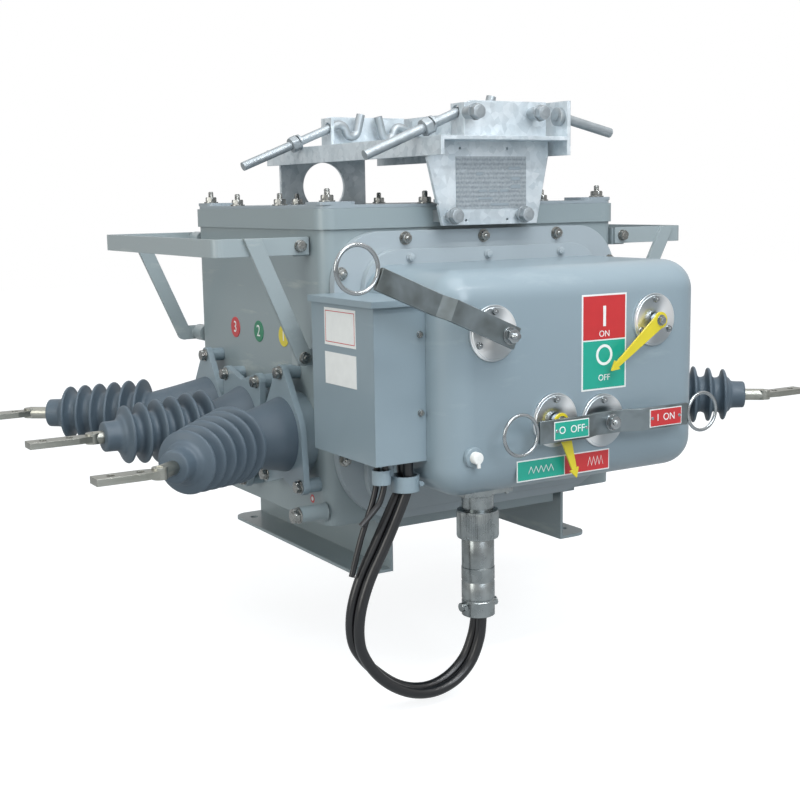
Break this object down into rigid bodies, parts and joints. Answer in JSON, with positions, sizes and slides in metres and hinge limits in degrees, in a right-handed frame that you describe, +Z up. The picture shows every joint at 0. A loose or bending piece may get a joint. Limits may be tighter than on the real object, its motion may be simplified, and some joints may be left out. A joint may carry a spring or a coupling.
{
  "type": "vacuum circuit breaker",
  "caption": "Outdoor pole-mounted circuit breaker: a tank with splayed rubber bushings on both sides, a drive box with levers and pointers, and a top hanger.",
  "frame": {"origin": "centre of the four foot holes, on the underside of the feet", "axes": "+X across the bushings to the right as seen from the drive box, -Y towards the drive box side, +Z up"},
  "size_m": [1.296, 0.8429, 0.8539],
  "materials": {
    "tank_paint": "semi-gloss",
    "box_paint": "semi-gloss",
    "zinc_bolts": "satin",
    "stainless": "brushed",
    "red_paint": "gloss",
    "green_paint": "gloss",
    "yellow_paint": "gloss",
    "white_plastic": "matte",
    "black_cable": "matte",
    "silicone": "satin",
    "tinned": "matte",
    "galvanised": "spangled zinc",
    "plate_metal": "matte"
  },
  "bodies": {
    "body": {"tank_shell": "tank_paint", "tank_lid": "tank_paint", "lid_bolts": "zinc_bolts", "foot_left": "tank_paint", "foot_right": "tank_paint", "front_plate": "box_paint", "front_plate_bolts": "zinc_bolts", "drive_box": "box_paint", "drive_box_flange": "box_paint", "drive_box_bolts": "zinc_bolts", "shaft_discs": "stainless", "position_label": "red_paint", "energy_label": "green_paint", "lock_knob": "white_plastic", "phase_discs": "red_paint", "terminal_box": "box_paint", "terminal_box_lid": "box_paint", "box_labels": "white_plastic", "cable_clamps": "zinc_bolts", "control_cable_front": "black_cable", "control_cable_rear": "black_cable", "cut_lead_short": "black_cable", "cut_lead_long": "black_cable", "connector": "stainless", "earth_terminal": "tank_paint", "handle_left": "box_paint", "handle_right": "box_paint", "handle_bolts": "zinc_bolts", "bushing_left_front": "silicone", "bushing_left_middle": "silicone", "bushing_left_rear": "silicone", "bushing_right_front": "silicone", "bushing_right_middle": "silicone", "bushing_right_rear": "silicone", "bushing_flanges": "box_paint", "bushing_bolts": "zinc_bolts", "terminals_left": "tinned", "terminals_right": "tinned", "saddle": "galvanised", "saddle_upstand": "galvanised", "hanger_front_plate": "galvanised", "hanger_rear_plate": "galvanised", "upright_front": "galvanised", "upright_rear": "galvanised", "hanger_bolts": "galvanised", "hook_bolts": "galvanised", "nameplate": "plate_metal"},
    "charging_lever": {"charge_lever": "stainless", "charge_ring": "stainless"},
    "hand_lever_set": {"hand_lever": "stainless", "hand_rings": "stainless", "lever_plate_on": "red_paint", "lever_plate_off": "green_paint"},
    "position_flag": {"position_pointer": "yellow_paint"},
    "energy_flag": {"energy_pointer": "yellow_paint"}
  },
  "joints": [
    {"name": "charging_lever_turn", "type": "hinge", "parent": "body", "child": "charging_lever", "pos_m": [-0.144, -0.474, 0.385], "axis": [0, -1, 0], "range_deg": [0, 60]},
    {"name": "hand_lever_turn", "type": "hinge", "parent": "body", "child": "hand_lever_set", "pos_m": [0.047, -0.474, 0.247], "axis": [0, 1, 0], "range_deg": [-18, 18]},
    {"name": "position_flag_turn", "type": "hinge", "parent": "body", "child": "position_flag", "pos_m": [0.143, -0.474, 0.386], "axis": [0, 1, 0], "range_deg": [0, 40]},
    {"name": "energy_flag_turn", "type": "hinge", "parent": "body", "child": "energy_flag", "pos_m": [-0.039, -0.474, 0.256], "axis": [0, 1, 0], "range_deg": [0, 35]}
  ]
}
